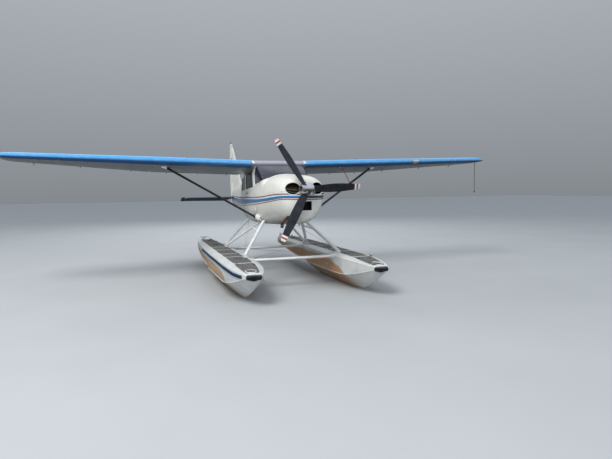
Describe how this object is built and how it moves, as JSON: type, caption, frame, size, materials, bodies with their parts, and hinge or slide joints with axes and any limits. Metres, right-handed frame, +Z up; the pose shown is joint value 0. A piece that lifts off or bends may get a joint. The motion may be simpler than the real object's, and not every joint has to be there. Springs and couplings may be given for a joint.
{
  "type": "single-engine high-wing floatplane",
  "caption": "High-wing light aeroplane on twin floats, with a nose propeller, strut-braced wing, cabin doors, and hinged flaps, ailerons, elevator, rudder and water rudders.",
  "frame": {"origin": "centre of the bounding box in plan, at the height of the float keels", "axes": "+X to port (the viewer's right in front of the nose), along the span; +Y aft along the floats; +Z up"},
  "size_m": [10.92, 8.4948, 3.4738],
  "materials": {
    "white_paint": "gloss white paint on aluminium sheet",
    "engine_iron": "oily cast metal",
    "black_rubber": "matt black rubber",
    "exhaust_steel": "heat-stained steel",
    "clear_glass": "clear acrylic",
    "seat_cloth": "woven cloth",
    "black_panel": "matt black",
    "polished_metal": "polished",
    "blade_paint": "matt dark grey paint, banded tips",
    "strut_black": "gloss black paint on aluminium tube",
    "float_paint": "white paint on riveted aluminium sheet",
    "rope_fibre": "laid rope"
  },
  "bodies": {
    "airframe": {"cowling": "white_paint", "engine_block": "engine_iron", "exhaust_pipe": "exhaust_steel", "firewall": "white_paint", "belly_pan": "white_paint", "windscreen_deck": "white_paint", "cabin_side_left": "white_paint", "cabin_side_right": "white_paint", "cabin_rear": "white_paint", "windscreen": "clear_glass", "quarter_window_left": "clear_glass", "quarter_window_right": "clear_glass", "seat_left": "seat_cloth", "seat_right": "seat_cloth", "rear_bench": "seat_cloth", "instrument_panel": "black_panel", "wing_centre": "white_paint", "wing_left": "white_paint", "wing_right": "white_paint", "wing_strut_left": "strut_black", "wing_strut_right": "strut_black", "tail_cone": "white_paint", "fin": "white_paint", "stabiliser_left": "white_paint", "stabiliser_right": "white_paint", "float_hull_left": "float_paint", "float_hull_right": "float_paint", "bow_bumper_left": "black_rubber", "bow_bumper_right": "black_rubber", "spreader_bar_front": "float_paint", "spreader_bar_rear": "float_paint", "float_strut_front_left": "float_paint", "float_strut_front_right": "float_paint", "float_strut_rear_left": "float_paint", "float_strut_rear_right": "float_paint", "float_strut_diagonal_left": "float_paint", "float_strut_diagonal_right": "float_paint", "grab_rope_left": "rope_fibre"},
    "propeller": {"spinner": "polished_metal", "blade_1": "blade_paint", "blade_2": "blade_paint", "blade_3": "blade_paint"},
    "flap_left": {"flap_left": "white_paint"},
    "flap_right": {"flap_right": "white_paint"},
    "aileron_left": {"aileron_left": "white_paint"},
    "aileron_right": {"aileron_right": "white_paint"},
    "elevator": {"elevator": "white_paint"},
    "rudder": {"rudder": "white_paint"},
    "door_left": {"door_left": "white_paint", "door_window_left": "clear_glass"},
    "door_right": {"door_right": "white_paint", "door_window_right": "clear_glass"},
    "water_rudder_post_left": {"water_rudder_post_left": "polished_metal"},
    "water_rudder_post_right": {"water_rudder_post_right": "polished_metal"},
    "water_rudder_blade_left": {"water_rudder_blade_left": "float_paint"},
    "water_rudder_blade_right": {"water_rudder_blade_right": "float_paint"}
  },
  "joints": [
    {"name": "propeller_spin", "type": "hinge", "parent": "airframe", "child": "propeller", "pos_m": [0, -3.54146, 1.97715], "axis": [0, 0.9992, -0.041], "continuous": true},
    {"name": "flap_left_hinge", "type": "hinge", "parent": "airframe", "child": "flap_left", "pos_m": [0.6, -0.49907, 2.41374], "axis": [-0.9995, 0.0041, -0.0314], "range_deg": [0, 40]},
    {"name": "flap_right_hinge", "type": "hinge", "parent": "airframe", "child": "flap_right", "pos_m": [-0.6, -0.49907, 2.41374], "axis": [-0.9995, -0.0041, 0.0314], "range_deg": [0, 40]},
    {"name": "aileron_left_hinge", "type": "hinge", "parent": "airframe", "child": "aileron_left", "pos_m": [2.66, -0.50958, 2.47924], "axis": [-0.9925, 0.1076, -0.0586], "range_deg": [-17, 17]},
    {"name": "aileron_right_hinge", "type": "hinge", "parent": "airframe", "child": "aileron_right", "pos_m": [-2.66, -0.50958, 2.47924], "axis": [-0.9925, -0.1076, 0.0586], "range_deg": [-17, 17]},
    {"name": "elevator_hinge", "type": "hinge", "parent": "airframe", "child": "elevator", "pos_m": [0, 3.62264, 1.7352], "axis": [1, 0, 0], "range_deg": [-13, 38]},
    {"name": "rudder_hinge", "type": "hinge", "parent": "airframe", "child": "rudder", "pos_m": [0, 3.76505, 1.5472], "axis": [0, 0.0545, 0.9985], "range_deg": [-24, 24]},
    {"name": "door_left_hinge", "type": "hinge", "parent": "airframe", "child": "door_left", "pos_m": [0.572, -1.65205, 1.89962], "axis": [0, -0.041, -0.9992], "range_deg": [0, 70]},
    {"name": "door_right_hinge", "type": "hinge", "parent": "airframe", "child": "door_right", "pos_m": [-0.572, -1.65205, 1.89962], "axis": [0, 0.041, 0.9992], "range_deg": [0, 70]},
    {"name": "water_steer_left", "type": "hinge", "parent": "airframe", "child": "water_rudder_post_left", "pos_m": [1.168, 2.11957, 0.53], "axis": [0, 0, 1], "range_deg": [-24, 24]},
    {"name": "water_steer_right", "type": "hinge", "parent": "airframe", "child": "water_rudder_post_right", "pos_m": [-1.168, 2.11957, 0.53], "axis": [0, 0, 1], "range_deg": [-24, 24]},
    {"name": "water_lift_left", "type": "hinge", "parent": "water_rudder_post_left", "child": "water_rudder_blade_left", "pos_m": [1.168, 2.17157, 0.47], "axis": [1, 0, 0], "range_deg": [-84, 0]},
    {"name": "water_lift_right", "type": "hinge", "parent": "water_rudder_post_right", "child": "water_rudder_blade_right", "pos_m": [-1.168, 2.17157, 0.47], "axis": [1, 0, 0], "range_deg": [-84, 0]}
  ],
  "couplings": [
    {"joint": "flap_right_hinge", "follows": "flap_left_hinge", "ratio": 1},
    {"joint": "aileron_right_hinge", "follows": "aileron_left_hinge", "ratio": -1},
    {"joint": "water_steer_left", "follows": "rudder_hinge", "ratio": 1},
    {"joint": "water_steer_right", "follows": "rudder_hinge", "ratio": 1},
    {"joint": "water_lift_right", "follows": "water_lift_left", "ratio": 1}
  ]
}
